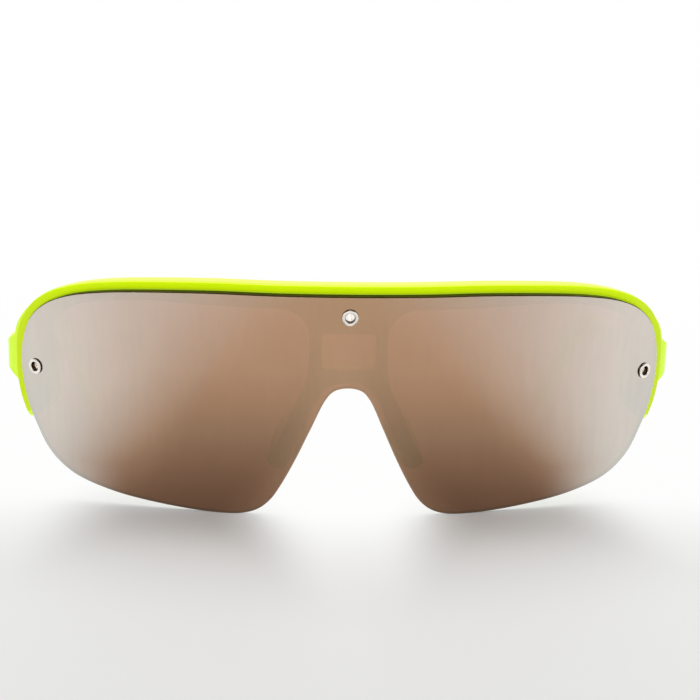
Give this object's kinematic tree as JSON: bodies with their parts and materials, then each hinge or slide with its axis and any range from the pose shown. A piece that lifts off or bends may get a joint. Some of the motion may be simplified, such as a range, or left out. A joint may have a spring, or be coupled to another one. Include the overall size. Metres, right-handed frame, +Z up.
{
  "type": "wraparound sunglasses",
  "caption": "Wraparound shield sunglasses: one mirrored lens riveted to a bright half frame, with folding temples and soft nose pads.",
  "frame": {"origin": "middle of the bounding box's underside, on the table that the lens and the temple tips stand on", "axes": "+X towards the wearer's left, +Y from the lens back to the ears, +Z up; the glasses are symmetric about X = 0"},
  "size_m": [0.1482, 0.158, 0.0513],
  "materials": {
    "frame_plastic": "neon yellow-green, semi-gloss moulded",
    "lens": "brown tinted sheet with silver-bronze flash mirror",
    "eyelet_metal": "bright nickel plate",
    "hinge_steel": "satin stainless",
    "pad_rubber": "soft matt, frame colour"
  },
  "bodies": {
    "front": {"front_frame": "frame_plastic", "shield_lens": "lens", "eyelet_centre": "eyelet_metal", "eyelet_left": "eyelet_metal", "eyelet_right": "eyelet_metal", "eyelet_washer_centre": "eyelet_metal", "eyelet_washer_left": "eyelet_metal", "eyelet_washer_right": "eyelet_metal", "nose_pad_left": "pad_rubber", "nose_pad_right": "pad_rubber", "hinge_front_leaf_left": "hinge_steel", "hinge_front_leaf_right": "hinge_steel", "hinge_screw_left": "hinge_steel", "hinge_screw_right": "hinge_steel", "front_leaf_screw_left_upper": "hinge_steel", "front_leaf_screw_left_lower": "hinge_steel", "front_leaf_screw_right_upper": "hinge_steel", "front_leaf_screw_right_lower": "hinge_steel"},
    "temple_left_body": {"temple_left": "frame_plastic", "hinge_temple_leaf_left": "hinge_steel", "temple_leaf_screw_left_upper": "hinge_steel", "temple_leaf_screw_left_lower": "hinge_steel"},
    "temple_right_body": {"temple_right": "frame_plastic", "hinge_temple_leaf_right": "hinge_steel", "temple_leaf_screw_right_upper": "hinge_steel", "temple_leaf_screw_right_lower": "hinge_steel"}
  },
  "joints": [
    {"name": "temple_left_fold", "type": "hinge", "parent": "front", "child": "temple_left_body", "pos_m": [0.06978, -0.03382, 0.03094], "axis": [0, 0, 1], "range_deg": [0, 90]},
    {"name": "temple_right_fold", "type": "hinge", "parent": "front", "child": "temple_right_body", "pos_m": [-0.06978, -0.03382, 0.03094], "axis": [0, 0, -1], "range_deg": [0, 80]}
  ]
}
